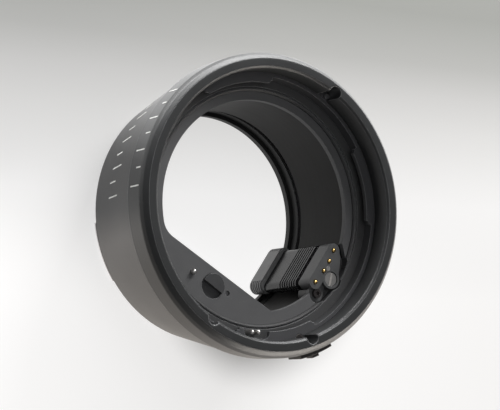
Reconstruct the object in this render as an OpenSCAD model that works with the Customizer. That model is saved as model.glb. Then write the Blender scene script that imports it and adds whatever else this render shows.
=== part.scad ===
// Macro extension tube for a bayonet-mount camera. The tube stands on its rear end:
// z = 0 is the end of the rear bayonet, +Z is the optical axis towards the lens.
// Angles turn anticlockwise seen from the lens side, from +X.

/* [Optics and length] */
// Length that the tube adds, from the rear flange to the lens seat
extension = 32; // [28:1:56]
// Depth of the rear bayonet behind its flange
spigot_h = 3; // [2.8:0.1:4]
// Height of the front face above the lens seat
lip_h = 6.6; // [5.5:0.1:9]
// Depth of the baffle plate's face below the lens seat
plate_drop = 4.3; // [3.8:0.1:5]

/* [Outside] */
// Width of the lip, from the mouth to the rim
lip_w = 4; // [3.8:0.1:5]
// How far the widest ring stands out from the rim
ring_step = 0.6; // [0.3:0.1:1.5]
// Chamfer at the front edge of the rim
rim_edge = 1.2; // [0.4:0.1:1.6]
// Length of the bevel between the widest ring and the rim
ring_bevel = 1.1; // [0.5:0.1:2]
// Length of the front ring's outer wall, from its front face to the seam
ring_len = 8.8; // [8.2:0.1:9.2]
// Width of the barrel's rear edge, outside the rear lugs
rear_edge_w = 0.8; // [0.6:0.1:2]
// How far the barrel stays inside the ring at the seam
barrel_step = 0.3; // [0.1:0.1:0.6]
// Wall of the tapered barrel
barrel_wall = 1; // [0.8:0.1:1]

/* [Lens bayonet] */
// Width of the seat between the channel and the mouth
seat_w = 1.1; // [0.8:0.1:1.4]
// Bevel round the mouth
mouth_bevel = 0.6; // [0.3:0.1:1]
// How far the bayonet ring reaches under the lip
bayonet_w = 2.4; // [2.2:0.1:2.6]
// How far the lugs stand in from the channel that the lens's lugs turn in
lug_reach = 1.8; // [1.4:0.1:2]
// Thickness of the lugs
lug_t = 1.4; // [1:0.1:1.8]
// Depth of the ring from the lens seat to the channel's floor
bayonet_h = 3.4; // [3.2:0.1:3.6]
// Radius milled at the ends of the lugs
lug_end_r = 0.9; // [0.4:0.1:1.2]
// Radius of the three wells in the lip
well_r = 1.9; // [1.7:0.1:2.1]
// Distance from the mouth's wall out to the wells' centres
well_out = 0.4; // [0.1:0.1:0.8]

/* [Baffle] */
// Radius of the opening
open_r = 30.6; // [30:0.1:30.8]
// Step in the opening beside the contact block
open_step = 1.1; // [0.6:0.1:1.4]
// Depth of the segment that the opening's straight edge closes
chord_depth = 8.15; // [8:0.05:8.3]
// Direction that the straight edge faces away from
chord_dir = 226.6; // [226:0.1:227]
// Radius of the opening's wide corner
corner_big = 6; // [4:0.5:7]
// Radius of the opening's tight corner
corner_small = 1.6; // [1:0.1:2.5]
// Thickness of the baffle plate
plate_t = 1.6; // [1.4:0.1:1.8]
// Width of the plate round the opening
plate_w = 2.45; // [2.4:0.05:2.6]
// Width of the frame's step round the plate, up to the lugs
frame_w = 2.05; // [1.9:0.05:2.4]
// How far the light trap tube stays behind the opening's edge
trap_back = 0.2; // [0.1:0.05:0.4]
// Wall of the light trap tube
trap_wall = 0.7; // [0.5:0.1:0.8]

/* [Rear bayonet] */
// How far the rear opening's edge stands in from the front opening's
rear_open_in = 0.35; // [0.2:0.05:0.45]
// Wall of the spigot
spigot_w = 4.35; // [4:0.05:5]
// How far the rear lugs stand out
rear_lug_reach = 1.4; // [1:0.1:2]
// Thickness of the rear lugs
rear_lug_t = 1.3; // [1:0.1:1.4]
// Angle that each rear lug covers
rear_lug_w = 28; // [22:1:34]
// Thickness of the flange inside the barrel
flange_t = 1.8; // [1.4:0.1:2.2]
// Thickness of the web that carries the shaft's rear end
web_t = 1.6; // [1.2:0.1:1.8]

/* [Drive shaft and pins] */
// Distance of the drive shaft from the opening's straight edge
shaft_out = 4.55; // [4.45:0.05:4.7]
// Direction of the drive shaft
shaft_dir = 225.2; // [224.5:0.1:226]
// Radius of the shaft's front head
head_r = 3.42; // [3.3:0.01:3.46]
// Radius of the shaft between its ends
shaft_r = 2; // [1.6:0.1:2.2]
// Radius of the shaft in its rear bush
journal_r = 2.55; // [2.4:0.05:2.6]
// Height of the half-moon key over the baffle plate
key_h = 0.8; // [0.4:0.1:1.2]
// Radius of the push pin
push_r = 0.75; // [0.6:0.05:0.8]
// Travel of the push pin
push_travel = 1.2; // [0.8:0.1:1.3]
// Radius of the lock pin and of the stud beside it
stud_r = 0.7; // [0.5:0.05:0.75]
// Travel of the release slide
release_travel = 1.6; // [1:0.1:1.6]

/* [Contact block] */
// Distance of the contacts inside the opening's edge
contact_in = 2.4; // [2.4:0.05:2.6]
// Radius of the round ends of the block
block_r = 2.05; // [1.9:0.05:2.05]
// Height of the block's front face over the baffle plate
block_rise = 0.5; // [0.3:0.1:0.8]
// Length of the front moulding
block_front_len = 5.2; // [5:0.1:5.6]
// Length of the rear moulding
block_rear_len = 6.3; // [5.5:0.1:7]
// Number of fins between the mouldings
fin_count = 8; // [4:1:8]
// Spacing of the fins
fin_pitch = 1.2; // [1:0.05:1.2]
// Thickness of a fin
fin_t = 0.6; // [0.4:0.05:0.7]
// Radius of a contact pin
contact_r = 0.55; // [0.45:0.05:0.55]
// Travel of a contact pin
contact_travel = 0.8; // [0.4:0.1:0.8]
// Height of a contact pin over the block's face
contact_out = 0.55; // [0.3:0.05:0.8]

/* [Hidden] */
$fn = 96;

// Clearances: pieces that are pushed together, pieces that run, pieces that pass, faces that meet
fit = 0.02;
run = 0.05;
air = 0.3;
seam = 0.1;
eps = 0.01;

// Heights of the main planes
flange_z = spigot_h;
seat_z = flange_z + extension;
face_z = seat_z + lip_h;
floor_z = seat_z - bayonet_h;
plate_z = seat_z - plate_drop;
plate_low_z = plate_z - plate_t;
trap_flange_t = 0.5;
flat_gap = 0.75;
ledge_z = plate_low_z - trap_flange_t;
frame_t = 4;
frame_z = floor_z - frame_t;
seam_z = face_z - ring_len;
web_z = spigot_h - web_t;
barrel_flange_t = 2.4;
flange_top_z = flange_z + flange_t;
barrel_floor_z = flange_top_z + barrel_flange_t;
trap_end_z = barrel_floor_z + 0.4;

// Radii that follow, from the opening outwards
open_low_r = open_r - open_step;
chord_at = open_r - chord_depth;
trap_r = open_r + trap_back;
trap_out_r = trap_r + trap_wall;
ledge_r = trap_out_r + 0.1;
plate_r = open_r + plate_w;
lug_r = plate_r + frame_w;
channel_r = lug_r + lug_reach;
mouth_r = channel_r + seat_w;
bayonet_r = mouth_r + bayonet_w;
frame_r = bayonet_r - 0.2;
rim_r = mouth_r + lip_w;
ring_r = rim_r + ring_step;
barrel_r1 = ring_r - barrel_step;
rear_open_r = open_r - rear_open_in;
spigot_r = rear_open_r + spigot_w;
rear_lug_r = spigot_r + rear_lug_reach;
barrel_r0 = rear_lug_r + rear_edge_w;
mount_r = rear_lug_r;
recess_r = rear_open_r + 1.15;
barrel_bore_r = recess_r + 0.8;
shaft_at = chord_at + shaft_out;
contact_at = open_r - contact_in;

// Sizes of the small pieces
screw_r = 0.6;
screw_head_r = 0.85;
screw_head_h = 1.1;
plate_screw_r = 0.5;
plate_screw_head_r = 0.8;
rear_screw_r = 0.8;
rear_screw_head_r = 1.2;
rear_screw_top = 1.7;
plate_hole_r = head_r + 0.08;
bush_r = journal_r + 1;
key_base = 0.7;
push_hole_r = push_r + run;
block_z = plate_z + block_rise;
block_mid_z = block_z - block_front_len;
block_end_z = 0.8;
block_rear_z = block_end_z + block_rear_len;
core_r = block_r - 0.5;
waist_r = block_r - 0.2;
fins_top_z = block_mid_z - 1.4;
rear_block_r = block_r + 0.45;
foot_r = 2.4;
foot_t = 1.4;
screw_lobe_r = 2.9;
shoulder_r = 2.5;
boss_h = 4;
collar_r = 0.8;
collar_t = 0.6;
collar_bore_r = collar_r + run;
tip_guide = 1;
tip_r = contact_r;
stem_r = 0.35;
rod_r = 0.5;
rod_head_t = 0.4;
push_collar_r = 1.5;
push_collar_t = 1.1;
push_tube_h = 17;
dowel_r = 0.8;
post_r = 0.65;
hub_r = 1.15;
arm_w = 2.4;
arm_t = 1.2;
arm_z = seat_z - 0.1 - arm_t;
slide_r = ring_r + 0.2;
slide_t = 0.95;
slide_span = [271, 285.5];
ear_span = [276.3, 279.3];
ear_t = 1.75;
slide_z = arm_z - 2;
slide_h = 6.3;
seat_step = 0.1;
stud_top_z = seat_z - 0.1;
lock_plate_t = 1;
lock_plate_z = frame_z - 0.2 - lock_plate_t;
spring_well_r = 1.3;
spring_well_z = floor_z - 2;

// Where the small pieces stand, as [distance from the axis, angle]
release_dir = 275.2;
release_at = mouth_r + 0.5;
release_place = [release_at, release_dir];
wells = [[mouth_r + well_out, release_dir], [mouth_r + well_out, 47.3], [mouth_r + 0.1, 225.4]];
dowel_place = [mouth_r + dowel_r + 0.1, 45.8];
screw_dirs = [12, 72, 132, 192, 244, 312];
screw_at = mouth_r + screw_r + 0.5;
plate_screw_dirs = [30, 110, 190, 268];
plate_screw_at = plate_r - plate_screw_r - run;
rear_screw_dirs = [20, 92, 164, 236, 288];
rear_screw_at = spigot_r - rear_screw_head_r - 0.2;
lug_spans = [[74, 111], [164.5, 197], [243, 285], [-17, 19]];
rear_lug_dirs = [8, 98, 188, 278];
push_place = beside(shaft_at + 1.3, shaft_dir, -7.46);
stop_place = beside(shaft_at - 0.5, shaft_dir, 5.09);
lock_dir = 254.9;
lock_place = [lug_r + 0.2, lock_dir];
stud_place = beside(lug_r + 0.4, lock_dir, -2.1);
block_dir = 313;
pin_steps = [-5.56, -1.08, 2.36, 5.91];
pin_dirs = [for (step = pin_steps) beside(contact_at, block_dir, step)[1]];
screw_place = beside(contact_at + 3.35, block_dir, -1.49);
shoulder_place = beside(contact_at + 0.8, block_dir, 4.05);
foot_place = beside(contact_at + 3, block_dir, -7.73);
foot_inner_place = beside(contact_at + 1.8, block_dir, -5.24);
rivet_place = beside(contact_at + 0.8, block_dir, 0.4);
rear_block_at = contact_at - 0.6;

function polar(p) = [p[0] * cos(p[1]), p[0] * sin(p[1])];
function barrel_r(z) = barrel_r0 + (barrel_r1 - barrel_r0) * (z - flange_z) / (seam_z - flange_z);
// Place at a radius, a length along the arc from a direction
function beside(at, dir, step) = [at, dir + step / at * 180 / PI];
function chord_u() = [cos(chord_dir), sin(chord_dir)];

// Upright cylinder between two heights
module post(r, z0, z1, p = [0, 0]) {
    translate([p[0], p[1], z0]) cylinder(r = r, h = z1 - z0);
}

// Ring of rectangular section between two heights
module tube(r0, r1, z0, z1) {
    difference() {
        post(r1, z0, z1);
        post(r0, z0 - 1, z1 + 1);
    }
}

// Flat bar with round ends
module bar_2d(a, b, r) {
    d = b - a;
    translate(a) circle(r);
    translate(b) circle(r);
    translate(a) rotate(atan2(d[1], d[0])) translate([0, -r]) square([norm(d), 2 * r]);
}

// Sector of a disc, from one angle to another, less than half a turn
module sector_2d(r, a0, a1) {
    far = r / cos((a1 - a0) / 4) + 1;
    mid = (a0 + a1) / 2;
    intersection() {
        circle(r);
        polygon([[0, 0], polar([far, a0]), polar([far, mid]), polar([far, a1])]);
    }
}

module slab(z0, z1) {
    translate([0, 0, z0]) linear_extrude(z1 - z0) children();
}

// Half plane on the axis side of the straight edge
module chord_side_2d(at) {
    rotate(chord_dir) translate([-100, -100]) square([100 + at, 200]);
}

// Disc cut by the straight edge
module d_shape_2d(r, at) {
    intersection() {
        circle(r);
        chord_side_2d(at);
    }
}

// Rounds the corner between the straight edge and an arc. side is -1 or 1.
module corner_cut_2d(r, rc, side) {
    turn = acos((chord_at - rc) / (r - rc)) * side;
    centre = polar([r - rc, chord_dir + turn]);
    along = (r - rc) * sin(turn);
    chord_point = chord_at * chord_u() + along * [-sin(chord_dir), cos(chord_dir)];
    arc_point = polar([r, chord_dir + turn]);
    far_turn = acos(chord_at / r) * side;
    far_point = polar([r + 2, chord_dir + far_turn]);
    difference() {
        polygon([centre, chord_point, far_point, arc_point]);
        translate(centre) circle(rc);
    }
}

// The baffle's opening: an arc, a straight edge and two rounded corners
module opening_2d() {
    difference() {
        d_shape_2d(open_r, chord_at);
        corner_cut_2d(open_r, corner_big, -1);
        difference() {
            sector_2d(open_r + 1, 255, 300);
            circle(open_low_r);
        }
        corner_cut_2d(open_low_r, corner_small, 1);
    }
}

// Outline of the contact block's body, round its four pins
module block_2d(r, at = contact_at) {
    bar_2d(polar([at, pin_dirs[0]]), polar([at, pin_dirs[3]]), r);
}

// Outline of the block's front flange with its screw lobe
module block_flange_2d(grow = 0) {
    block_2d(block_r + grow);
    translate(polar(screw_place)) circle(screw_lobe_r + grow);
    bar_2d(polar(screw_place), polar(shoulder_place), shoulder_r + grow);
}

module foot_2d(grow = 0) {
    translate(polar(foot_place)) circle(foot_r + grow);
    bar_2d(polar(foot_place), polar(foot_inner_place), foot_r + grow - 0.2);
}

// Pocket round the block in the plate and the frame
module block_pocket_2d() {
    block_flange_2d(0.4);
    foot_2d(0.3);
    difference() {
        sector_2d(lug_r - 0.9, foot_place[1], shoulder_place[1]);
        circle(contact_at + air);
    }
    bar_2d(polar([contact_at + 2.8, shoulder_place[1]]), polar([contact_at + 0.4, pin_dirs[3] + 2]), 3);
}

// Coil spring of round wire, as a sweep along its helix
module coil(r, wire, h, turns) {
    steps = turns * 14;
    sides = 6;
    rise = h - 2 * wire;
    points = [for (i = [0:steps]) for (j = [0:sides - 1])
        let (a = 360 * turns * i / steps, b = 360 * j / sides, rr = r + wire * cos(b))
        [rr * cos(a), rr * sin(a), wire + rise * i / steps + wire * sin(b)]];
    faces = [for (i = [0:steps - 1]) for (j = [0:sides - 1])
        let (k = (j + 1) % sides)
        [i * sides + j, (i + 1) * sides + j, (i + 1) * sides + k, i * sides + k]];
    start = [for (j = [0:sides - 1]) j];
    stop = [for (j = [sides - 1:-1:0]) steps * sides + j];
    polyhedron(points, concat(faces, [start, stop]), convexity = 4);
}

// Front ring with the lip round the mouth, the bevels and the two wells
module front_ring() {
    bevel_z = face_z - rim_edge;
    color("#3d3e40") difference() {
        rotate_extrude(convexity = 6) polygon([
            [bayonet_r + run, seam_z],
            [ring_r - 0.15, seam_z],
            [ring_r, seam_z + 0.15],
            [ring_r, bevel_z - ring_bevel],
            [rim_r, bevel_z],
            [rim_r - rim_edge, face_z],
            [mouth_r + mouth_bevel, face_z],
            [mouth_r, face_z - mouth_bevel],
            [mouth_r, seat_z - seat_step],
            [bayonet_r + run, seat_z - seat_step]
        ]);
        for (w = wells) post(well_r, seat_z - 1, face_z + 1, polar(w));
        arm_slot(seat_z + run);
        for (t = screw_dirs)
            post(screw_r + fit, seat_z - 1, seat_z + 4, polar([screw_at, t]));
        post(dowel_r + fit, seat_z - 1, seat_z + 1.5, polar(dowel_place));
    }
}

// Slot that the release arm moves in, open outwards
module arm_slot(top) {
    low = arm_z - release_travel - air / 2;
    rotate(release_dir) translate([release_at, -(arm_w + air) / 2, low])
        cube([10, arm_w + air, top - low]);
}

// The lens's way in: the channel's circle less the four lugs
module lens_way_2d() {
    difference() {
        circle(channel_r);
        for (s = lug_spans) difference() {
            sector_2d(channel_r + 0.5, s[0], s[1]);
            circle(lug_r);
            for (t = s) translate(polar([lug_r, t])) circle(lug_end_r);
        }
    }
}

// Steel ring with four lugs that hold the lens
module lens_bayonet() {
    color("#343537") difference() {
        union() {
            tube(channel_r, bayonet_r, floor_z, seat_z - lug_t);
            slab(seat_z - lug_t, seat_z - seat_step) difference() {
                circle(bayonet_r);
                lens_way_2d();
            }
            slab(seat_z - seat_step, seat_z) difference() {
                circle(mouth_r - run);
                lens_way_2d();
            }
        }
        // Round-ended pocket for the lock pin and its stud
        slab(floor_z - 1, seat_z + 1)
            bar_2d(polar(beside(lock_place[0], lock_dir, 1.3)),
                polar(beside(lock_place[0] - 0.15, lock_dir, -3.3)), 1.95);
        // Well for the release spring and slot for the arm over it
        post(spring_well_r, floor_z - 1, seat_z + 1, polar(release_place));
        arm_slot(seat_z + 1);
        for (t = screw_dirs) post(screw_r + fit, floor_z - 1, seat_z + 1, polar([screw_at, t]));
        post(dowel_r + fit, floor_z - 1, seat_z + 1, polar(dowel_place));
    }
}

// Screws from the frame through the bayonet ring into the lip
module bayonet_screws() {
    color("#8d8f92") for (t = screw_dirs) {
        p = polar([screw_at, t]);
        difference() {
            union() {
                post(screw_head_r, frame_z, frame_z + screw_head_h, p);
                post(screw_r, frame_z + screw_head_h - eps, seat_z + 3.5, p);
            }
            translate([p[0], p[1], frame_z - 1]) cylinder(r = 0.45, h = 1.6, $fn = 6);
        }
    }
}

// Frame that carries the baffle, the bayonet ring and the contact block
module front_frame() {
    edge = 0.4;
    groove_r = lug_r - 0.8;
    color("#47474a") difference() {
        union() {
            rotate_extrude(convexity = 6) polygon([
                [ledge_r, frame_z],
                [frame_r, frame_z],
                [frame_r, floor_z],
                [groove_r, floor_z],
                [groove_r, floor_z - edge],
                [groove_r - 0.5, floor_z - edge],
                [groove_r - 0.5, floor_z],
                [plate_r + run + edge, floor_z],
                [plate_r + run, floor_z - edge],
                [plate_r + run, ledge_z],
                [ledge_r, ledge_z]
            ]);
            post(3, ledge_z - boss_h, ledge_z, polar(screw_place));
            post(foot_r, ledge_z - boss_h, ledge_z, polar(foot_place));
        }
        slab(ledge_z, floor_z + 1) block_pocket_2d();
        for (t = screw_dirs) {
            post(screw_r + fit, frame_z - 1, floor_z + 1, polar([screw_at, t]));
            post(screw_head_r + fit, frame_z - 1, frame_z + screw_head_h, polar([screw_at, t]));
        }
        for (t = plate_screw_dirs) {
            post(plate_screw_r + fit, frame_z - 1, ledge_z + 1, polar([plate_screw_at, t]));
            post(plate_screw_head_r + run, frame_z - 1, frame_z + 0.6, polar([plate_screw_at, t]));
        }
        slab(ledge_z - boss_h - 1, ledge_z + 1) block_2d(block_r + air);
        post(post_r + run, frame_z - 1, floor_z + 1, polar(release_place));
        post(spring_well_r, spring_well_z, floor_z + 1, polar(release_place));
        post(stud_r + run, frame_z - 1, floor_z + 1, polar(lock_place));
        post(stud_r + fit, frame_z + 0.5, floor_z + 1, polar(stud_place));
        post(dowel_r + fit, floor_z - 2, floor_z + 1, polar(dowel_place));
        post(0.9 + fit, ledge_z - boss_h + 0.5, ledge_z + 1, polar(screw_place));
        post(0.7 + fit, ledge_z - boss_h + 1, ledge_z + 1, polar(foot_place));
    }
}

// Thin plate with the D-shaped opening
module baffle_plate() {
    color("#555557") difference() {
        slab(plate_low_z, plate_z) difference() {
            circle(plate_r);
            opening_2d();
            block_pocket_2d();
        }
        post(plate_hole_r, plate_low_z - 1, plate_z + 1, polar([shaft_at, shaft_dir]));
        post(push_hole_r, plate_low_z - 1, plate_z + 1, polar(push_place));
        post(0.75, plate_low_z - 1, plate_z + 1, polar(stop_place));
        for (t = plate_screw_dirs)
            post(plate_screw_r + fit, plate_low_z - 1, plate_z - 0.5, polar([plate_screw_at, t]));
    }
}

// Small screws from behind that hold the plate and the trap's flange to the frame
module plate_screws() {
    color("#8d8f92") for (t = plate_screw_dirs) {
        p = polar([plate_screw_at, t]);
        post(plate_screw_head_r, frame_z + 0.05, frame_z + 0.6, p);
        post(plate_screw_r, frame_z + 0.6 - eps, plate_z - 0.6, p);
    }
}

// Matt liner with a flat side, hung from its flange under the plate
module light_trap_tube() {
    flat = chord_at + flat_gap;
    color("#24221f") difference() {
        union() {
            slab(trap_end_z, ledge_z) difference() {
                d_shape_2d(trap_out_r, flat + trap_wall);
                d_shape_2d(trap_r, flat);
            }
            slab(ledge_z, plate_low_z) difference() {
                circle(plate_r);
                d_shape_2d(trap_r, flat);
                block_pocket_2d();
            }
        }
        slab(ledge_z - boss_h - air, ledge_z + 1) {
            translate(polar(screw_place)) circle(3 + air);
            translate(polar(foot_place)) circle(foot_r + air);
            bar_2d(polar(foot_place), polar(screw_place), 1.5);
        }
        post(shaft_r + 0.2, ledge_z - 1, plate_z, polar([shaft_at, shaft_dir]));
        post(push_hole_r, ledge_z - 1, plate_z, polar(push_place));
        for (t = plate_screw_dirs)
            post(plate_screw_r + fit, ledge_z - 1, plate_z, polar([plate_screw_at, t]));
    }
}

// Tapered outer barrel
module rear_barrel() {
    top_z = seam_z - seam;
    step_z = floor_z - 0.05;
    guide_z = frame_z - 1;
    color("#4b4b4a") difference() {
        rotate_extrude(convexity = 6) polygon([
            [mount_r + run, flange_z],
            [barrel_r0 - 0.3, flange_z],
            [barrel_r(flange_z + 0.3), flange_z + 0.3],
            [barrel_r(top_z - 0.15), top_z - 0.15],
            [barrel_r(top_z) - 0.15, top_z],
            [bayonet_r + run, top_z],
            [bayonet_r + run, step_z],
            [frame_r + run, step_z],
            [frame_r + run, guide_z],
            [barrel_r(guide_z) - barrel_wall, guide_z],
            [barrel_r(barrel_floor_z) - barrel_wall, barrel_floor_z],
            [barrel_bore_r, barrel_floor_z],
            [barrel_bore_r, flange_top_z],
            [mount_r + run, flange_top_z]
        ]);
        arm_slot(seat_z);
        for (t = rear_screw_dirs)
            post(rear_screw_r + fit, flange_top_z - 1, flange_top_z + rear_screw_top + 0.1,
                polar([rear_screw_at, t]));
    }
}

// Steel rear bayonet with four lugs and the web for the shaft and the push pin
module rear_mount() {
    chamfer = 0.6;
    color("#a7a8aa") difference() {
        union() {
            rotate_extrude(convexity = 6) polygon([
                [rear_open_r, 0],
                [spigot_r - 0.3, 0],
                [spigot_r, 0.3],
                [spigot_r, flange_z],
                [mount_r, flange_z],
                [mount_r, flange_top_z],
                [recess_r, flange_top_z],
                [recess_r, 2],
                [rear_open_r, 2]
            ]);
            for (t = rear_lug_dirs) {
                intersection() {
                    rotate_extrude(convexity = 4) polygon([
                        [spigot_r - 0.5, 0.15],
                        [rear_lug_r - chamfer, 0.15],
                        [rear_lug_r, 0.15 + chamfer],
                        [rear_lug_r, rear_lug_t],
                        [spigot_r - 0.5, rear_lug_t]
                    ]);
                    slab(0, 2) sector_2d(rear_lug_r + 1, t - rear_lug_w / 2, t + rear_lug_w / 2);
                }
            }
            slab(web_z, spigot_h) difference() {
                circle(recess_r + 0.5);
                chord_side_2d(chord_at + flat_gap);
            }
        }
        for (t = rear_screw_dirs) {
            post(rear_screw_r + fit, -1, flange_top_z + 1, polar([rear_screw_at, t]));
            post(rear_screw_head_r + run, -1, 1.2, polar([rear_screw_at, t]));
        }
        post(bush_r + fit, web_z - 1, spigot_h + 1, polar([shaft_at, shaft_dir]));
        post(push_hole_r, web_z - 1, spigot_h - 0.8, polar(push_place));
        post(push_r + 0.5 + fit, spigot_h - 0.8, spigot_h + 1, polar(push_place));
        // Hole for the camera's own lock pin
        post(stud_r + 0.25, flange_z - 1, flange_top_z + 1, polar([spigot_r + 0.2, lock_dir]));
    }
}

// Screws through the rear mount into the barrel's inner flange
module rear_screws() {
    color("#8d8f92") for (t = rear_screw_dirs) {
        p = polar([rear_screw_at, t]);
        difference() {
            union() {
                post(rear_screw_head_r, 0.2, 1.2, p);
                post(rear_screw_r, 1.2 - eps, flange_top_z + rear_screw_top, p);
            }
            for (a = [0, 90]) translate([p[0], p[1], 0.4]) rotate(a) cube([1.5, 0.35, 0.7], true);
        }
    }
}

// Bush for the shaft's rear end
module shaft_bush() {
    p = polar([shaft_at, shaft_dir]);
    color("#b08d4a") difference() {
        post(bush_r, web_z, spigot_h + 1.2, p);
        post(journal_r + run, web_z - 1, spigot_h + 3, p);
    }
}

// Drive shaft: half-moon key at the front, slot at the rear
module drive_shaft() {
    journal_top = spigot_h + 3;
    clip_z = spigot_h + 1.3;
    color("#5a5a5c") translate(concat(polar([shaft_at, shaft_dir]), 0)) difference() {
        union() {
            post(journal_r + 0.5, web_z - 0.55, web_z - 0.1);
            post(journal_r, web_z - 0.3, journal_top);
            post(shaft_r, journal_top - eps, plate_low_z + 0.1);
            post(head_r, plate_low_z + 0.05, plate_low_z + key_base);
            intersection() {
                post(head_r, plate_low_z + key_base - eps, plate_z + key_h);
                rotate(shaft_dir) translate([-10, -10, 0]) cube([10.2, 20, 100]);
            }
        }
        translate([0, 0, clip_z]) tube(journal_r - 0.6, journal_r + 1, 0, 0.6);
        rotate(shaft_dir) translate([-0.5, -5, 0]) cube([1, 10, web_z + 0.5]);
    }
}

// Spring clip in the shaft's groove
module shaft_clip() {
    clip_z = spigot_h + 1.3;
    color("#77797c") translate(concat(polar([shaft_at, shaft_dir]), 0)) difference() {
        tube(journal_r - 0.6 + fit, journal_r + 0.7, clip_z + 0.05, clip_z + 0.55);
        rotate(shaft_dir) translate([0, -1.2, clip_z - 1]) cube([10, 2.4, 3]);
    }
}

// Pin that carries a push from the lens side to the camera
module push_pin() {
    p = polar(push_place);
    collar_z = ledge_z - air - push_collar_t;
    color("#d8d6d2") {
        post(push_r, web_z, plate_z + 0.7, p);
        translate([p[0], p[1], plate_z + 0.7]) rotate_extrude() difference() {
            circle(push_r);
            translate([-2, -4]) square([2, 8]);
            translate([-1, -4]) square([4, 4]);
        }
        post(push_collar_r, collar_z, collar_z + push_collar_t, p);
    }
}

// Guide tube for the push pin, standing on the web
module push_pin_tube() {
    p = polar(push_place);
    color("#b08d4a") difference() {
        post(push_r + 0.5, spigot_h - 0.8, spigot_h + push_tube_h, p);
        post(push_r + run, 0, spigot_h + push_tube_h + 1, p);
    }
}

// Return spring between the guide tube and the pin's collar
module push_pin_spring() {
    bottom = spigot_h + push_tube_h;
    top = ledge_z - air - push_collar_t - push_travel;
    color("#9b9ea2")
        translate(concat(polar(push_place), bottom)) coil(push_r + 0.35, 0.2, top - bottom - 0.05, 5);
}

// Pin set below the face of the plate
module stop_pin() {
    p = polar(stop_place);
    color("#b9b9b9") post(0.75 - fit, plate_low_z, plate_z - 0.6, p);
}

// Front moulding of the contact block, with its screw lobe and foot
module contact_front() {
    color("#4a4a4c") difference() {
        union() {
            slab(block_mid_z, ledge_z) block_2d(block_r);
            slab(ledge_z, ledge_z + foot_t) {
                block_flange_2d();
                foot_2d();
            }
            slab(ledge_z + foot_t, block_z) block_flange_2d();
        }
        for (t = pin_dirs) {
            p = polar([contact_at, t]);
            post(contact_r + run, block_mid_z - 1, block_z + 1, p);
            post(collar_bore_r, block_mid_z - 1, block_z - tip_guide, p);
            translate([p[0], p[1], block_z - 0.2])
                cylinder(r1 = contact_r + run, r2 = contact_r + 0.3, h = 0.25);
        }
        post(2.15, block_z - 1.3, block_z + 1, polar(screw_place));
        post(0.9 + fit, ledge_z - 1, block_z + 1, polar(screw_place));
        post(0.7 + fit, ledge_z - 1, block_z, polar(foot_place));
        post(0.7 + fit, ledge_z + 0.2, block_z + 1, polar(rivet_place));
    }
}

// Finned middle of the block, which stops stray reflections
module contact_fins() {
    color("#2b2b2c") difference() {
        union() {
            slab(block_rear_z, fins_top_z - fin_count * fin_pitch) block_2d(waist_r);
            slab(block_rear_z, block_mid_z - 0.02) block_2d(core_r);
            for (i = [1:fin_count]) {
                z = fins_top_z - i * fin_pitch;
                slab(z, z + fin_t) block_2d(block_r);
            }
        }
        for (t = pin_dirs)
            post(rod_r + run, block_rear_z - 1, block_mid_z + 1, polar([contact_at, t]));
    }
}

// Rear moulding, ribbed round its ends and smooth on its inner side
module contact_rear() {
    inner_a = polar([rear_block_at, pin_dirs[0]]);
    inner_b = polar([rear_block_at, pin_dirs[3]]);
    along = inner_b - inner_a;
    pitch = 1;
    color("#3c3c3d") difference() {
        union() {
            slab(block_end_z, block_rear_z - 0.02) block_2d(rear_block_r - 0.35, rear_block_at);
            for (z = [block_end_z:pitch:block_rear_z - 0.5])
                slab(z, z + 0.55) block_2d(rear_block_r, rear_block_at);
            slab(block_end_z, block_rear_z - 0.3) translate(inner_a)
                rotate(atan2(along[1], along[0])) square([norm(along), rear_block_r + 0.05]);
        }
        for (t = pin_dirs) {
            post(rod_r + run, 0, block_rear_z + 1, polar([contact_at, t]));
            post(0.95, 0, block_end_z + 0.5, polar([contact_at, t]));
        }
    }
}

// Large slotted screw of the contact block
module block_screw() {
    color("#d8d6d2") translate(concat(polar(screw_place), 0)) difference() {
        union() {
            post(2, block_z - 1.3, block_z - 0.2);
            post(0.9, ledge_z - boss_h + 0.7, block_z - 1.3 + eps);
        }
        rotate(65) translate([-3, -0.35, block_z - 0.8]) cube([6, 0.7, 3]);
    }
}

// Socket screw in the block's foot
module foot_screw() {
    color("#3a3536") translate(concat(polar(foot_place), 0)) difference() {
        union() {
            post(1.3, ledge_z + foot_t, ledge_z + foot_t + 1);
            post(0.7, ledge_z - boss_h + 1.2, ledge_z + foot_t + eps);
        }
        translate([0, 0, ledge_z + foot_t + 0.4]) cylinder(r = 0.65, h = 3, $fn = 6);
    }
}

// Steel dowel in the face of the block
module block_dowel() {
    color("#d0cfcd") post(0.7, ledge_z + 0.2, block_z + 0.05, polar(rivet_place));
}

// Sprung contact with a domed tip, a collar and a stem
module contact_pin(i) {
    collar_z = block_z - tip_guide - collar_t - 0.05;
    shank_top = block_z + contact_out - tip_r * 0.6;
    translate(concat(polar([contact_at, pin_dirs[i]]), 0)) {
        post(tip_r, collar_z, shank_top);
        translate([0, 0, shank_top]) intersection() {
            translate([0, 0, -0.45]) sphere(r = 0.71, $fn = 48);
            post(tip_r, 0, 1);
        }
        post(collar_r, collar_z, collar_z + collar_t);
        post(stem_r, collar_z - 1.3, collar_z + eps);
    }
}

module contact_pin_1() {
    color("gold") contact_pin(0);
}

module contact_pin_2() {
    color("gold") contact_pin(1);
}

module contact_pin_3() {
    color("gold") contact_pin(2);
}

module contact_pin_4() {
    color("gold") contact_pin(3);
}

// Springs under the contacts, drawn at their pressed length
module contact_springs() {
    bottom = block_mid_z + rod_head_t;
    top = block_z - tip_guide - collar_t - 0.05 - contact_travel;
    color("#9b9ea2") for (t = pin_dirs)
        translate(concat(polar([contact_at, t]), bottom)) coil(0.62, 0.1, top - bottom - 0.05, 4);
}

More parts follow.
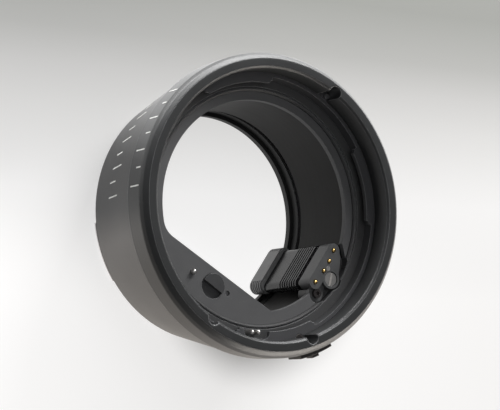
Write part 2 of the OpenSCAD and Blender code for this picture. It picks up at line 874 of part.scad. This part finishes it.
// Rods that join the front springs to the rear pads
module contact_rods() {
    color("#b98a3c") for (t = pin_dirs) {
        p = polar([contact_at, t]);
        post(collar_r, block_mid_z, block_mid_z + rod_head_t, p);
        post(rod_r, block_end_z + 0.5, block_mid_z + eps, p);
    }
}

// Gold pads on the rear face of the block
module rear_pads() {
    color("gold")
        for (t = pin_dirs) post(0.9, block_end_z - 0.05, block_end_z + 0.5, polar([contact_at, t]));
}

// Domed round stud
module stud(z0, z1, p) {
    post(stud_r, z0, z1 - stud_r, p);
    translate([p[0], p[1], z1 - stud_r]) intersection() {
        sphere(r = stud_r, $fn = 48);
        post(2, 0, 2);
    }
}

// Fixed stud that stops the lens's lug
module index_stud() {
    color("#d8d6d2") stud(frame_z + 0.5, stud_top_z, polar(stud_place));
}

// Dowel that keeps the bayonet ring from turning
module bayonet_dowel() {
    color("#b9b9b9") post(dowel_r, floor_z - 2, seat_z + 0.8, polar(dowel_place));
}

// Slide outside the ring, with the arm and the post that reach the lock plate
module release_slide() {
    hub = polar(release_place);
    color("#2f2e2d") {
        slab(slide_z, slide_z + slide_h) difference() {
            sector_2d(slide_r + slide_t, slide_span[0], slide_span[1]);
            circle(slide_r);
        }
        slab(slide_z + slide_h - 3.4, slide_z + slide_h - 0.4) difference() {
            sector_2d(slide_r + ear_t, ear_span[0], ear_span[1]);
            circle(slide_r + 0.1);
        }
        rotate(release_dir) translate([release_at, -arm_w / 2, arm_z])
            cube([slide_r + slide_t / 2 - release_at, arm_w, arm_t]);
        post(hub_r, arm_z, arm_z + arm_t, hub);
        post(post_r, lock_plate_z, arm_z + eps, hub);
    }
}

// Plate under the frame that joins the slide's post to the lock pin
module lock_plate() {
    inner_r = lug_r - 0.3;
    color("#77797c") difference() {
        slab(lock_plate_z, lock_plate_z + lock_plate_t) {
            difference() {
                sector_2d(mouth_r, lock_dir, release_dir);
                circle(inner_r);
            }
            bar_2d(polar([inner_r + 1.6, release_dir]), polar([release_at - 0.2, release_dir]), 1.15);
            bar_2d(polar(lock_place), polar([inner_r + 1.6, lock_dir]), 1.3);
        }
        post(post_r + fit, lock_plate_z - 1, frame_z, polar(release_place));
        post(stud_r + fit, lock_plate_z - 1, frame_z, polar(lock_place));
    }
}

// Lock pin that drops into the lens's flange
module lock_pin() {
    color("#d8d6d2") stud(lock_plate_z, stud_top_z, polar(lock_place));
}

// Spring under the slide's arm, drawn at its pressed length
module release_spring() {
    h = arm_z - release_travel - spring_well_z - 0.1;
    color("#9b9ea2") translate(concat(polar(release_place), spring_well_z)) coil(1, 0.2, h, 4);
}

front_ring();
lens_bayonet();
bayonet_screws();
front_frame();
baffle_plate();
plate_screws();
light_trap_tube();
rear_barrel();
rear_mount();
rear_screws();
shaft_bush();
drive_shaft();
shaft_clip();
push_pin();
push_pin_tube();
push_pin_spring();
stop_pin();
contact_front();
contact_fins();
contact_rear();
block_screw();
foot_screw();
block_dowel();
contact_pin_1();
contact_pin_2();
contact_pin_3();
contact_pin_4();
contact_springs();
contact_rods();
rear_pads();
index_stud();
bayonet_dowel();
release_slide();
lock_plate();
lock_pin();
release_spring();
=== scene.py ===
import math

import bmesh
import bpy
from mathutils import Matrix, Vector


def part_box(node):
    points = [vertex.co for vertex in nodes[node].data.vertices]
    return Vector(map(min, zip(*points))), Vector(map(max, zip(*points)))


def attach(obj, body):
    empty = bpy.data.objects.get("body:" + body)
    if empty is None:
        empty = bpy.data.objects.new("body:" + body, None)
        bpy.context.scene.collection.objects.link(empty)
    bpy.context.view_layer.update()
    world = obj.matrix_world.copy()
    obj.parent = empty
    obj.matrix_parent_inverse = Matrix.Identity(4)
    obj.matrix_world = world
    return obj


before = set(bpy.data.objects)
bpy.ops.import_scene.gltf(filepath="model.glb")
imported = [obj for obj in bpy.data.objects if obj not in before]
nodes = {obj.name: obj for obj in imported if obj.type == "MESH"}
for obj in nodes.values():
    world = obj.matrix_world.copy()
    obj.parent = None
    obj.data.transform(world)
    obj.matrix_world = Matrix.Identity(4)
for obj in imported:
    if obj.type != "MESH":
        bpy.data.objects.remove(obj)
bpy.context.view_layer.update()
mm = 0.001  # sizes below are in millimetres
print("frame loaded:", len(nodes), "nodes")


# shader expressions: a Wire is one socket, and sums or products of Wires add Math nodes
class Wire:
    def __init__(self, tree, socket=None):
        self.tree = tree
        self.socket = socket

    def add(self, kind, settings=None, inputs=None, out=0):
        node = self.tree.nodes.new(kind)
        for name, value in (settings or {}).items():
            if name == "stops":
                fillRamp(node.color_ramp, value)
            else:
                setattr(node, name, value)
        for name, value in (inputs or {}).items():
            if isinstance(value, Wire):
                self.tree.links.new(value.socket, node.inputs[name])
            else:
                node.inputs[name].default_value = value
        return Wire(self.tree, node.outputs[out] if node.outputs else None)

    def math(self, operation, *others, clamp=False, swapped=False):
        terms = (*others, self) if swapped else (self, *others)
        settings = {"operation": operation, "use_clamp": clamp}
        return self.add("ShaderNodeMath", settings, dict(enumerate(terms)))

    def __add__(self, other):
        return self.math("ADD", other)

    def __sub__(self, other):
        return self.math("SUBTRACT", other)

    def __mul__(self, other):
        return self.math("MULTIPLY", other)

    def __rsub__(self, other):
        return self.math("SUBTRACT", other, swapped=True)

    __radd__ = __add__
    __rmul__ = __mul__

    def between(self, low, high, curve="SMOOTHSTEP"):  # 0 at low, 1 at high
        return self.add("ShaderNodeMapRange", {"interpolation_type": curve},
                        {"Value": self, "From Min": low, "From Max": high})

    def clamped(self):
        return self.math("ADD", 0.0, clamp=True)

    def blendColours(self, low, high):  # self is the factor
        return self.add("ShaderNodeMix", {"data_type": "RGBA"}, {0: self, 6: low, 7: high}, out=2)

    def ramp(self, stops):
        return self.add("ShaderNodeValToRGB", {"stops": stops}, {"Fac": self})

    def vector(self, operation, other=None, out=0):
        second = "Scale" if operation == "SCALE" else 1  # scaling has a socket of its own
        terms = {0: self} if other is None else {0: self, second: other}
        return self.add("ShaderNodeVectorMath", {"operation": operation}, terms, out)

    def part(self, index):  # one of x, y, z
        return self.add("ShaderNodeSeparateXYZ", None, {0: self}, out=index)


def fillRamp(ramp, stops):
    while len(ramp.elements) > 1:
        ramp.elements.remove(ramp.elements[-1])
    for i, (spot, colour) in enumerate(stops):
        element = ramp.elements[0] if i == 0 else ramp.elements.new(spot)
        element.position = spot
        element.color = rgba(*colour)


def rgba(red, green, blue):
    return (red, green, blue, 1.0)


def newMaterial(name):
    material = bpy.data.materials.new(name)
    material.use_nodes = True
    tree = material.node_tree
    tree.nodes.clear()
    return material, Wire(tree)


def principled(wire, inputs):
    shader = wire.add("ShaderNodeBsdfPrincipled", None, inputs)
    wire.add("ShaderNodeOutputMaterial", None, {"Surface": shader})


def newObject(name, data):
    thing = bpy.data.objects.new(name, data)
    bpy.context.scene.collection.objects.link(thing)
    return thing


# surface patterns, all in the piece's own coordinates (metres)
def place(wire):
    return wire.add("ShaderNodeTexCoord", out="Object")


def speckle(wire, at, size, detail=2.0, roughness=0.5):  # size in mm; about 0 to 1, mostly near 0.5
    return wire.add("ShaderNodeTexNoise", None,
                    {"Vector": at, "Scale": 1 / (size * mm), "Detail": detail, "Roughness": roughness})


def aroundAxis(wire, at, centre=(0, 0)):  # distance from an axis along Z, in mm
    flat = wire.add("ShaderNodeVectorMath", {"operation": "MULTIPLY_ADD"},
                    {0: at, 1: (1 / mm, 1 / mm, 0), 2: (-centre[0], -centre[1], 0)})
    return flat.vector("LENGTH", out=1)


def rounding(wire, width, samples):  # the normal as it is where edges are rounded
    return wire.add("ShaderNodeBevel", {"samples": samples}, {"Radius": width * mm})


def bumped(wire, height, normal=None):  # height in mm
    relief = {"Strength": 1.0, "Distance": mm, "Height": height}
    if normal:
        relief["Normal"] = normal
    return wire.add("ShaderNodeBump", None, relief)


# climb keeps the rings apart on walls that run along the axis
latheLook = {"climb": 0.93, "coarser": 0.43, "waverSize": 9, "waver": 0.6}


def latheLines(wire, at, pitch):  # fine rings left by the turning tool
    reach = aroundAxis(wire, at) + at.part(2) * (latheLook["climb"] / mm)
    waver = speckle(wire, at, latheLook["waverSize"], detail=1.0) * latheLook["waver"]
    fine = (reach * (1 / pitch) + waver).math("SINE")
    coarse = (reach * (latheLook["coarser"] / pitch)).math("SINE")
    return (fine * coarse) * 0.5 + 0.5


edgeLook = {"samples": 6, "turn": (0.01, 0.16), "roundSamples": 8}


def edgeGlint(wire, width):  # the rounded normal, and 1 along outer edges, where worn metal and painted highlights go, 0 on open faces
    rounded = rounding(wire, width, edgeLook["samples"])
    plain = wire.add("ShaderNodeNewGeometry", out="Normal")
    turn = 1 - rounded.vector("DOT_PRODUCT", plain, out=1)
    return rounded, turn.between(*edgeLook["turn"])


rubAndGlintLook = {"grain": (0.25, 0.6), "polish": 0.06}
dustLook = {"size": 0.35, "cut": (0.80, 0.84), "colour": (0.24, 0.235, 0.22), "rough": 0.2, "height": 0.02}
boreLook = {"colour": (0.012, 0.012, 0.012), "rough": 0.3, "edge": 0.05}


def machined(name, look):  # black or bright metal: grain, lathe lines, specks of dust, and outer edges painted lighter, partly as worn metal and partly as painted highlights
    material, wire = newMaterial(name)
    at = place(wire)
    rounded, edge = edgeGlint(wire, look["edge"])
    if "round" in look:  # a turned rim runs from face to face in a soft curve
        rounded = rounding(wire, look["round"], edgeLook["roundSamples"])
    grain = speckle(wire, at, look["grain"], detail=3.0, roughness=0.6)
    cloud = speckle(wire, at, look["cloud"])
    lines = latheLines(wire, at, look["pitch"]) if look["pitch"] else grain
    dust = speckle(wire, at, dustLook["size"], detail=0.0).between(*dustLook["cut"]) * look["dust"]
    # outer edges painted lighter: partly worn metal, partly painted highlights
    rubbedAndGlint = (edge * look["wearAndGlint"] * grain.between(*rubAndGlintLook["grain"])).clamped()

    shade = cloud.blendColours(rgba(*look["dark"]), rgba(*look["light"]))
    shade = rubbedAndGlint.blendColours(shade, rgba(*look["bareAndGlint"]))
    shade = dust.blendColours(shade, rgba(*dustLook["colour"]))
    rough = look["rough"] + (grain - 0.5) * look["spread"] + (cloud - 0.5) * look["spread"]
    rough = rough + (lines - 0.5) * look["lineRough"] - rubbedAndGlint * rubAndGlintLook["polish"] + dust * dustLook["rough"]
    height = grain * look["grainDepth"] + lines * look["lineDepth"] + dust * dustLook["height"]
    metal = look["metal"]
    if "blackInside" in look:  # the bore of a bright part is painted black
        wall = look["blackInside"]
        inside = 1 - aroundAxis(wire, at).between(wall, wall + boreLook["edge"])
        shade = inside.blendColours(shade, rgba(*boreLook["colour"]))
        rough = rough + inside * boreLook["rough"]
        metal = (1 - inside) * metal
    principled(wire, {"Base Color": shade, "Roughness": rough.clamped(), "Metallic": metal,
                      "IOR": look["ior"], "Normal": bumped(wire, height, rounded)})
    return material


def moulded(name, look):  # plastic with the fine spark texture of its mould
    material, wire = newMaterial(name)
    at = place(wire)
    rounded, edge = edgeGlint(wire, look["edge"])
    spark = speckle(wire, at, look["spark"], roughness=0.7)
    cloud = speckle(wire, at, look["cloud"], detail=1.0)
    shade = cloud.blendColours(rgba(*look["dark"]), rgba(*look["light"]))
    # outer edges painted lighter: partly worn plastic, partly painted glints
    shade = (edge * look["wearAndGlint"]).clamped().blendColours(shade, rgba(*look["bareAndGlint"]))
    rough = look["rough"] + (spark - 0.5) * look["spread"] + (cloud - 0.5) * look["cloudRough"]
    rough = rough - edge * look["polish"]
    principled(wire, {"Base Color": shade, "Roughness": rough.clamped(), "IOR": look["ior"],
                      "Normal": bumped(wire, spark * look["sparkDepth"], rounded)})
    return material


def dress(material, *names):
    for name in names:
        mesh = nodes[name].data
        mesh.materials.clear()
        mesh.materials.append(material)


# the black finish that most pieces start from: satin, turned on a lathe, with its outer edges painted
# lighter, partly as worn metal and partly as painted highlights.
# edge, grain, pitch, cloud and the depths are in mm, and a pitch of 0 leaves no lathe lines
blackLook = {
    "dark": (0.033, 0.034, 0.035), "light": (0.043, 0.044, 0.045), "bareAndGlint": (0.48, 0.48, 0.49),
    "rough": 0.36, "ior": 1.45, "spread": 0.08, "metal": 0.0, "edge": 0.22, "wearAndGlint": 0.5,
    "grain": 0.16, "grainDepth": 0.004, "pitch": 0.11, "lineDepth": 0.0016, "lineRough": 0.05,
    "cloud": 9, "dust": 0.25,
}

# front ring: a bright line painted along its edges, partly worn metal and partly a painted highlight
ringLook = dict(blackLook, round=0.7, wearAndGlint=1.3)
dress(machined("ring_black_anodised", ringLook), "front_ring")

# rear barrel: a finer, duller black
barrelLook = dict(blackLook, dark=(0.030, 0.030, 0.030), light=(0.037, 0.037, 0.037),
                  rough=0.39, ior=1.38, grain=0.2, lineDepth=0.0012, cloud=14)
dress(machined("barrel_black_anodised", barrelLook), "rear_barrel")

# inside: frame, baffle plate, bayonet ring and light trap
frameLook = dict(blackLook, dark=(0.062, 0.062, 0.063), light=(0.078, 0.078, 0.079),
                 rough=0.46, wearAndGlint=0.8, edge=0.18, dust=0.4, cloud=6)
dress(machined("frame_black_matt", frameLook), "front_frame")

plateLook = dict(blackLook, dark=(0.112, 0.112, 0.114), light=(0.138, 0.138, 0.140), rough=0.52,
                 wearAndGlint=0.45, edge=0.16, pitch=0, grain=0.14, grainDepth=0.007, dust=0.5, cloud=5)
dress(machined("plate_black_matt", plateLook), "baffle_plate")

bayonetLook = dict(blackLook, dark=(0.074, 0.074, 0.077), light=(0.090, 0.090, 0.094),
                   bareAndGlint=(0.50, 0.50, 0.51), wearAndGlint=0.85, edge=0.18, dust=0.3)
dress(machined("bayonet_black_chrome", bayonetLook), "lens_bayonet")

trapLook = dict(blackLook, dark=(0.010, 0.0095, 0.009), light=(0.014, 0.013, 0.012), rough=0.55, ior=1.3,
                wearAndGlint=0.12, edge=0.1, pitch=0.5, lineDepth=0.012, lineRough=0.0, dust=0.1)
dress(machined("trap_black_velvet", trapLook), "light_trap_tube")

# release slide under the rim: its edges painted lighter and warm, partly worn metal and partly painted
# glints
slideLook = dict(blackLook, dark=(0.024, 0.022, 0.022), light=(0.036, 0.033, 0.033),
                 bareAndGlint=(0.50, 0.43, 0.38), edge=0.16, wearAndGlint=0.9)
dress(machined("slide_black", slideLook), "release_slide")

# drive shaft and the screw in the block's foot: blackened steel
shaftLook = dict(blackLook, dark=(0.075, 0.075, 0.077), light=(0.100, 0.100, 0.102),
                 wearAndGlint=0.9, edge=0.1, grain=0.1, pitch=0, metal=0.2, dust=0.6, cloud=2)
dress(machined("shaft_blackened", shaftLook), "drive_shaft")

screwLook = dict(shaftLook, dark=(0.028, 0.025, 0.025), light=(0.042, 0.038, 0.038),
                 bareAndGlint=(0.30, 0.22, 0.22), edge=0.06, wearAndGlint=0.8)
dress(machined("black_screw", screwLook), "foot_screw")

# rear bayonet: turned and chromed, and painted black out to the radius blackInside
mountLook = {
    "dark": (0.46, 0.46, 0.47), "light": (0.56, 0.56, 0.57), "bareAndGlint": (0.78, 0.78, 0.78),
    "rough": 0.27, "ior": 1.5, "spread": 0.08, "metal": 1.0, "edge": 0.12, "wearAndGlint": 0.5,
    "grain": 0.1, "grainDepth": 0.002, "pitch": 0.09, "lineDepth": 0.003, "lineRough": 0.12,
    "cloud": 7, "dust": 0.1,
}
dress(machined("mount_turned_chrome", dict(mountLook, blackInside=31.4)), "rear_mount")

# small steel pieces, then the polished pins and screws
steelLook = dict(mountLook, dark=(0.34, 0.34, 0.35), light=(0.44, 0.44, 0.45),
                 rough=0.32, pitch=0, grain=0.08, edge=0.05)
dress(machined("small_steel", steelLook), "bayonet_screws", "plate_screws", "rear_screws", "push_pin_spring",
      "contact_springs", "release_spring", "stop_pin", "bayonet_dowel", "lock_plate", "shaft_clip")

polishLook = dict(mountLook, dark=(0.72, 0.70, 0.68), light=(0.84, 0.82, 0.79), bareAndGlint=(0.9, 0.9, 0.88),
                  rough=0.34, pitch=0, grain=0.06, edge=0.05, dust=0.0, cloud=0.8)
dress(machined("bright_steel", polishLook), "index_stud", "lock_pin", "push_pin", "block_screw",
      "block_dowel")

# brass and gold, on the pieces that slide or carry current
brassLook = dict(polishLook, dark=(0.46, 0.32, 0.13), light=(0.58, 0.42, 0.19), bareAndGlint=(0.72, 0.56, 0.3),
                 rough=0.3)
dress(machined("brass", brassLook), "shaft_bush", "push_pin_tube", "contact_rods")

goldLook = dict(polishLook, dark=(0.80, 0.52, 0.17), light=(0.92, 0.64, 0.25), bareAndGlint=(1.0, 0.80, 0.42),
                rough=0.22)
contactPins = [f"contact_pin_{i}" for i in range(1, 5)]
dress(machined("gold_plate", goldLook), "rear_pads", *contactPins)

# contact block: black plastic, glossier on the fins. The rear moulding is painted lighter, as painted light
# on its lit facets; the fins are far darker, with their edges painted lighter as painted glints
blockLook = {
    "dark": (0.080, 0.081, 0.082), "light": (0.120, 0.121, 0.122), "bareAndGlint": (0.20, 0.20, 0.20),
    "rough": 0.40, "ior": 1.5, "spread": 0.12, "edge": 0.1, "wearAndGlint": 0.35, "polish": 0.08,
    "spark": 0.24, "sparkDepth": 0.010, "cloud": 3.5, "cloudRough": 0.06,
}
# painted light: the same plastic as the front, made lighter where its facets catch the lamps
rearBlockLook = dict(blockLook, dark=(0.17, 0.17, 0.172), light=(0.28, 0.28, 0.282),
                     bareAndGlint=(0.36, 0.36, 0.36))
finLook = dict(blockLook, dark=(0.008, 0.008, 0.009), light=(0.014, 0.014, 0.015), bareAndGlint=(0.34, 0.34, 0.34),
               rough=0.24, edge=0.07, wearAndGlint=0.9)
dress(moulded("block_plastic", blockLook), "contact_front")
dress(moulded("rear_block_plastic", rearBlockLook), "contact_rear")
dress(moulded("fin_plastic", finLook), "contact_fins")
print("materials on", len(nodes), "nodes")


# scale marks: thin white fillings with round ends that follow the turned faces
markLook = {
    "width": 0.43, "proud": 0.03, "sunk": 0.03, "endSteps": 8,
    "dull": (0.80, 0.80, 0.77), "clean": (0.93, 0.93, 0.90), "worn": (0.3, 0.7), "cloud": 0.5,
    "rough": 0.55, "spread": 0.2, "grain": 0.12, "grainDepth": 0.01,
}


def whitePaint(name, look):
    material, wire = newMaterial(name)
    at = place(wire)
    grain = speckle(wire, at, look["grain"], roughness=0.6)
    worn = speckle(wire, at, look["cloud"]).between(*look["worn"])
    principled(wire, {"Base Color": worn.blendColours(rgba(*look["dull"]), rgba(*look["clean"])),
                      "Roughness": look["rough"] + (grain - 0.5) * look["spread"],
                      "Normal": bumped(wire, grain * look["grainDepth"])})
    return material


markWhite = whitePaint("mark_white", markLook)


def newPiece(name, bm, material):
    mesh = bpy.data.meshes.new(name)
    bm.to_mesh(mesh)
    bm.free()
    mesh.materials.append(material)
    return newObject(name, mesh)


def wallReach(wall, z):  # a turned wall is straight between its two ends, each (z, radius)
    (rearZ, rearReach), (frontZ, frontReach) = wall
    return rearReach + (frontReach - rearReach) * (z - rearZ) / (frontZ - rearZ)


def markOutline(low, high, width, steps):  # a slot with half-round ends: (across, along)
    half = width / 2
    top = [(half * math.cos(a), high - half + half * math.sin(a))
           for a in (math.pi * i / steps for i in range(steps + 1))]
    bottom = [(-x, low + high - z) for x, z in top]
    return top + bottom


def laidOn(bm, outline, wall, angle, lift):  # the outline's corners on the wall, lift proud of it
    corners = []
    for across, z in outline:
        reach = wallReach(wall, z) + lift
        turn = angle + across / reach
        corners.append(bm.verts.new((reach * math.cos(turn) * mm, reach * math.sin(turn) * mm, z * mm)))
    return corners


def markRow(name, row, wall):  # long and short marks by turns, all from the row's base
    bm = bmesh.new()
    for i in range(row["count"]):
        angle = math.radians(row["first"] - row["step"] * i)
        low, high = sorted((row["base"], row["short"] if i % 2 else row["long"]))
        outline = markOutline(low, high, markLook["width"], markLook["endSteps"])
        under = laidOn(bm, outline, wall, angle, -markLook["sunk"])
        over = laidOn(bm, outline, wall, angle, markLook["proud"])
        count = len(outline)
        for j in range(count):
            k = (j + 1) % count
            bm.faces.new((under[k], under[j], over[j], over[k]))
        bm.faces.new(over[::-1])
        bm.faces.new(under)
    bmesh.ops.recalc_face_normals(bm, faces=bm.faces)
    bmesh.ops.triangulate(bm, faces=[face for face in bm.faces if len(face.verts) > 4])
    marks = newPiece(name, bm, markWhite)
    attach(marks, "tube")


# angles in degrees round the tube, heights along it; the barrel opens out towards the ring
barrelMarks = {"count": 8, "first": 165.7, "step": 6.1, "base": 15.6, "short": 20.4, "long": 22.9,
               "slot": "barrel_black"}
barrelWall = ((3, 36.8), (32.8, 42.3))
markRow("barrel_marks", barrelMarks, barrelWall)

ringMarks = {"count": 7, "first": 164.6, "step": 6.72, "base": 38.85, "short": 36.4, "long": 34.4,
             "slot": "ring_black"}
ringRear, ringFront = (Vector(corner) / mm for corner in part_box("front_ring"))
ringWall = ((ringRear.z, ringFront.x), (ringFront.z, ringFront.x))
markRow("ring_marks", ringMarks, ringWall)
print("scale marks made")


# floor: pale and plain, near white to the camera, with the tube's shadow from the lamps, deepened by a
# painted shadow at its foot
floorLook = {
    "size": 1600, "cells": 8, "paint": 0.40, "rough": 0.8, "fleck": 0.6, "fleckRough": 0.1,
    "front": -58, "back": 72, "slant": 0.19,  # where the tones run from front to back, a little askew
    # painted shade: the floor's colour and glow are darker towards the back
    "tones": ((0.26, (0.985, 0.98, 0.975)), (0.5, (0.90, 0.895, 0.89)), (0.69, (0.715, 0.71, 0.70)),
              (0.782, (0.605, 0.60, 0.59)), (0.866, (0.47, 0.47, 0.455)), (1.0, (0.36, 0.365, 0.345))),
    "glow": 0.57,  # what only the camera sees, on top of the lamps' light
    # painted light: the camera's glow is raised on the left, where the tube's shadow falls, and dimmed on
    # the right
    "sideGlow": 0.27, "sideDim": 0.08, "sideSpan": (-90, 130), "sideFade": (-20, 20),
    # painted shadow: the glow fades out round the tube's foot
    "shade": (22, 44), "shadeCentre": (18, -14),  # the soft shadow at the tube's foot
    # painted light: the disc glows, white to the camera and in reflections, and lights the tube's inside
    "bore": (31, 36), "boreGlow": 0.28, "boreLight": 0.60,  # the disc of floor that shows through the tube
    # painted reflection: a glow seen only in reflections, which the black finish mirrors
    "shine": ((0.0, (0.34, 0.31, 0.28)), (0.22, (0.46, 0.43, 0.40)), (0.36, (0.60, 0.57, 0.545)),
              (0.45, (0.24, 0.24, 0.24)), (0.60, (0.10, 0.10, 0.10)), (0.68, (0.26, 0.26, 0.26)),
              (0.80, (0.85, 0.85, 0.85))),
    "shineGain": 2.0,  # shine is what the black finish mirrors
}


def floorMaterial(name, look):
    material, wire = newMaterial(name)
    at = place(wire)
    fleck = speckle(wire, at, look["fleck"])
    x, y = (at.part(axis) * (1 / mm) for axis in (0, 1))
    depth = x * look["slant"] + y
    # painted shade: darker towards the back
    toBack = depth.between(look["front"], look["back"], "LINEAR")
    tone, shine = toBack.ramp(look["tones"]), toBack.ramp(look["shine"])
    camera = wire.add("ShaderNodeLightPath", out="Is Camera Ray")
    glossy = wire.add("ShaderNodeLightPath", out="Is Glossy Ray")
    inBore = 1 - aroundAxis(wire, at).between(*look["bore"])
    # painted shadow: the camera's glow fades out round the tube's foot
    clear = aroundAxis(wire, at, look["shadeCentre"]).between(*look["shade"])
    outside = clear * (1 - inBore)
    toLeft = 1 - x.between(*look["sideSpan"])  # painted light that lifts the side that the tube's shadow falls on
    toFront = 1 - depth.between(*look["sideFade"])
    glow = (toLeft * look["sideGlow"] - look["sideDim"]) * toFront + look["glow"]
    # painted light: the disc under the tube glows for every ray, and more for the camera and reflections
    inside = ((camera + glossy) * look["boreGlow"] + look["boreLight"]) * inBore
    lift = tone.vector("SCALE", inside + outside * camera * glow)
    # painted reflection: a glow that only reflections see
    mirrored = shine.vector("SCALE", outside * glossy * look["shineGain"])
    principled(wire, {"Base Color": tone.vector("SCALE", look["paint"]),
                      "Roughness": look["rough"] + (fleck - 0.5) * look["fleckRough"],
                      "Emission Color": lift.vector("ADD", mirrored), "Emission Strength": 1.0})
    return material


def makeFloor(look):
    bm = bmesh.new()
    bmesh.ops.create_grid(bm, x_segments=look["cells"], y_segments=look["cells"], size=look["size"] / 2 * mm)
    newPiece("floor", bm, floorMaterial("floor_paper", look))


makeFloor(floorLook)


# studio light: a soft box and a low strip behind the tube, a faint one above, a warm card in front
lightLook = {
    "key": {"from": (330, 380, 330), "size": (350, 250), "power": 3.0, "colour": (1.0, 1.0, 1.0)},
    "strip": {"from": (110, 430, 55), "size": (800, 105), "power": 4.8, "colour": (1.0, 1.0, 1.0)},
    "top": {"from": (-200, 40, 900), "size": (700, 700), "power": 1.2, "colour": (0.98, 0.99, 1.0)},
    "card": {"from": (250, -440, 60), "size": (700, 200), "power": 3.8, "colour": (1.0, 0.94, 0.87)},
}
lightTarget = Vector((0, 0, 25)) * mm
worldLook = {"colour": (0.90, 0.91, 0.93), "strength": 0.12}


def makeLight(name, look):
    data = bpy.data.lights.new(name, "AREA")
    data.shape = "RECTANGLE"
    data.size, data.size_y = (side * mm for side in look["size"])
    data.energy = look["power"]
    data.color = look["colour"]
    spot = Vector(look["from"]) * mm
    turn = (lightTarget - spot).to_track_quat("-Z", "Y").to_matrix().to_4x4()
    newObject(name, data).matrix_world = Matrix.Translation(spot) @ turn


def makeWorld(look):
    world = bpy.data.worlds.new("studio")
    world.use_nodes = True
    backdrop = world.node_tree.nodes["Background"]
    backdrop.inputs["Color"].default_value = rgba(*look["colour"])
    backdrop.inputs["Strength"].default_value = look["strength"]
    bpy.context.scene.world = world


for name, look in lightLook.items():
    makeLight("light_" + name, look)
makeWorld(worldLook)
print("floor and lights made")


# camera: the photo's angle, looking down on the standing tube
cameraLook = {
    "aim": (0, 0, 40.4), "distance": 462, "lean": 34.0, "roll": 10.107,
    "lens": 120.11, "sensor": 36, "shift": (-0.0524, -0.002), "near": 10, "far": 10000,
}


def makeCamera(look):
    lean, roll = math.radians(look["lean"]), math.radians(look["roll"])
    ahead = Vector((math.sin(lean), 0, -math.cos(lean)))
    level = Vector((math.cos(lean), 0, math.sin(lean)))
    down = Vector((0, -1, 0))
    right = level * math.cos(roll) + down * math.sin(roll)
    under = down * math.cos(roll) - level * math.sin(roll)
    spot = (Vector(look["aim"]) - ahead * look["distance"]) * mm
    turn = Matrix((right, -under, -ahead)).transposed().to_4x4()
    data = bpy.data.cameras.new("camera")
    data.lens, data.sensor_width = look["lens"], look["sensor"]
    data.shift_x, data.shift_y = look["shift"]
    data.clip_start, data.clip_end = look["near"] * mm, look["far"] * mm
    camera = newObject("camera", data)
    camera.matrix_world = Matrix.Translation(spot) @ turn
    bpy.context.scene.camera = camera


makeCamera(cameraLook)
bpy.context.scene.view_settings.view_transform = "Standard"

print("scene ready")
